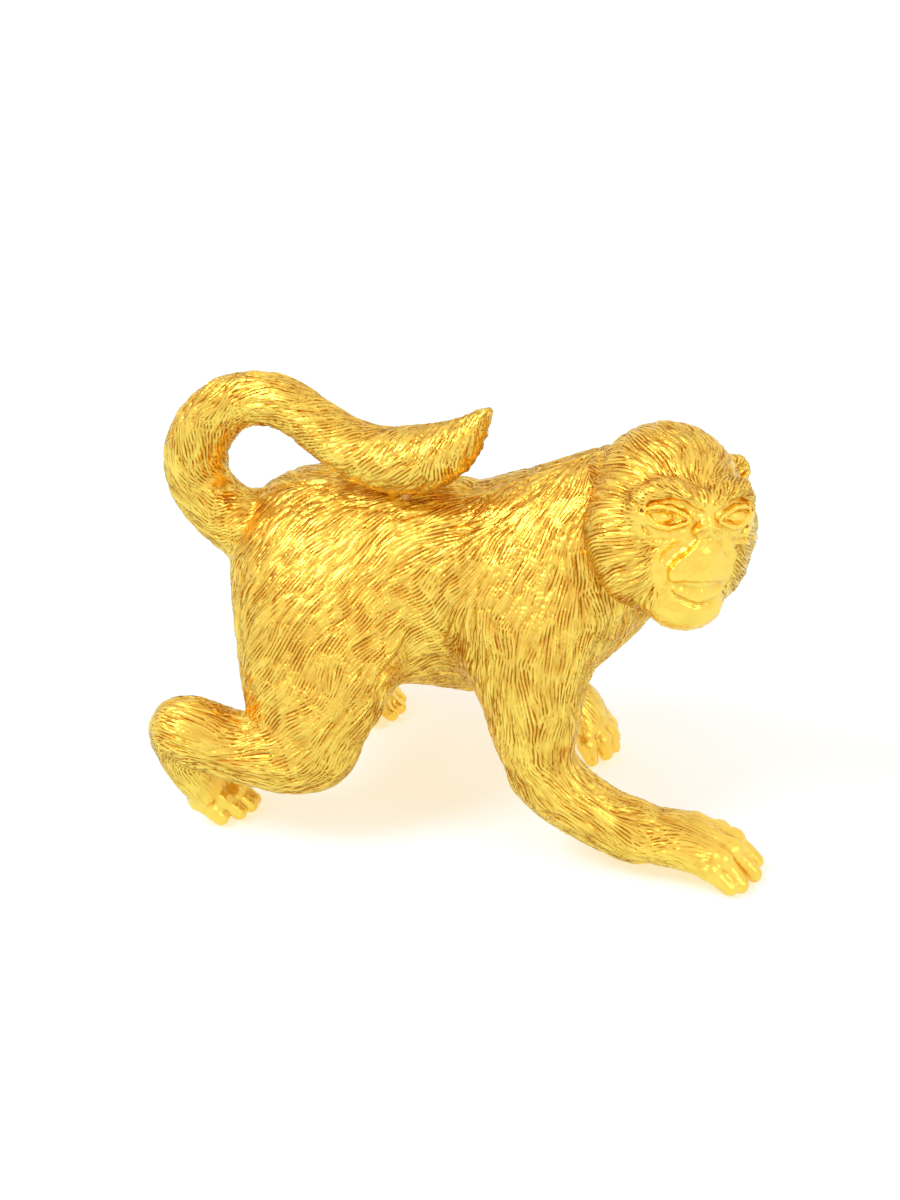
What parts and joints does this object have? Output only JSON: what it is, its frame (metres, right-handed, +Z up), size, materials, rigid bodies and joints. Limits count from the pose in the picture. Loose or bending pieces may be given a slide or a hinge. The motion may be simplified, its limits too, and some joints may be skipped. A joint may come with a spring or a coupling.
{
  "type": "monkey figurine",
  "caption": "Cast gilded monkey walking on all fours with its head turned to its right and its furry tail curled on to its back.",
  "frame": {"origin": "floor point under the middle of the figurine's box", "axes": "+X towards the chest and head end, +Y to the animal's left, +Z up"},
  "size_m": [0.0748, 0.0382, 0.0519],
  "materials": {
    "gilding": "bright satin gold plate over cast brass, fur engraved all over",
    "dowel_brass": "plain drawn rod"
  },
  "bodies": {
    "root": {"torso": "gilding", "head": "gilding", "tail": "gilding", "right_fore_limb": "gilding", "left_fore_limb": "gilding", "right_hind_limb": "gilding", "left_hind_limb": "gilding", "neck_dowel": "dowel_brass", "tail_root_dowel": "dowel_brass", "tail_rest_pin": "dowel_brass", "right_shoulder_dowel": "dowel_brass", "left_shoulder_dowel": "dowel_brass", "right_hip_dowel": "dowel_brass", "left_hip_dowel": "dowel_brass"}
  },
  "joints": []
}
